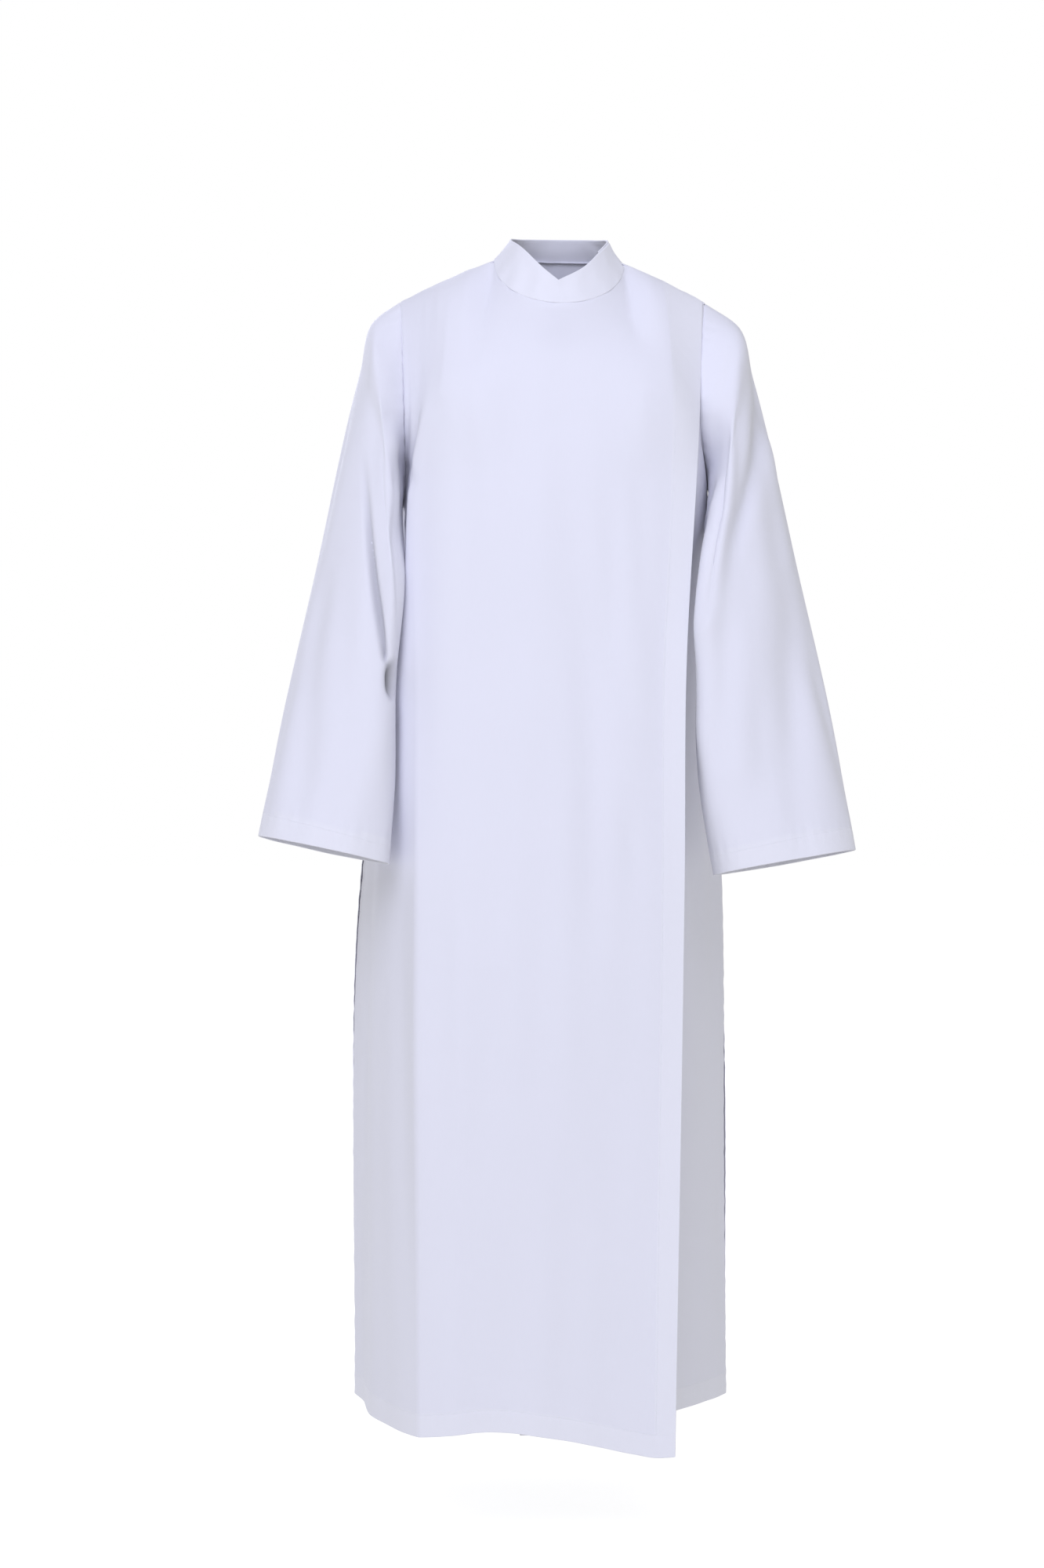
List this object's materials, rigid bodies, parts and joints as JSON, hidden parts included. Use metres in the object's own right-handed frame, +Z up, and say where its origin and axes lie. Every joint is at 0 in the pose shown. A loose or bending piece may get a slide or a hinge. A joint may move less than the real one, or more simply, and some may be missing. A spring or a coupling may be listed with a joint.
{
  "type": "alb robe",
  "caption": "Full-length white alb, worn and hollow, with a standing notched collar, a front that wraps over to the wearer's left and wide open sleeves.",
  "frame": {"origin": "between the shoulders at the base of the neck, where the wearer carries the robe", "axes": "+Z up along the wearer, -Y to the front, +X to the wearer's left"},
  "size_m": [0.7369, 0.3952, 1.4974],
  "materials": {
    "white_cloth": "plain-woven white polyester with a dull sheen"
  },
  "bodies": {
    "root": {"front_outer_bodice": "white_cloth", "front_outer_skirt": "white_cloth", "front_under_bodice": "white_cloth", "front_under_skirt": "white_cloth", "back_bodice": "white_cloth", "back_skirt": "white_cloth", "sleeve_right": "white_cloth", "sleeve_left": "white_cloth", "collar": "white_cloth"}
  },
  "joints": []
}
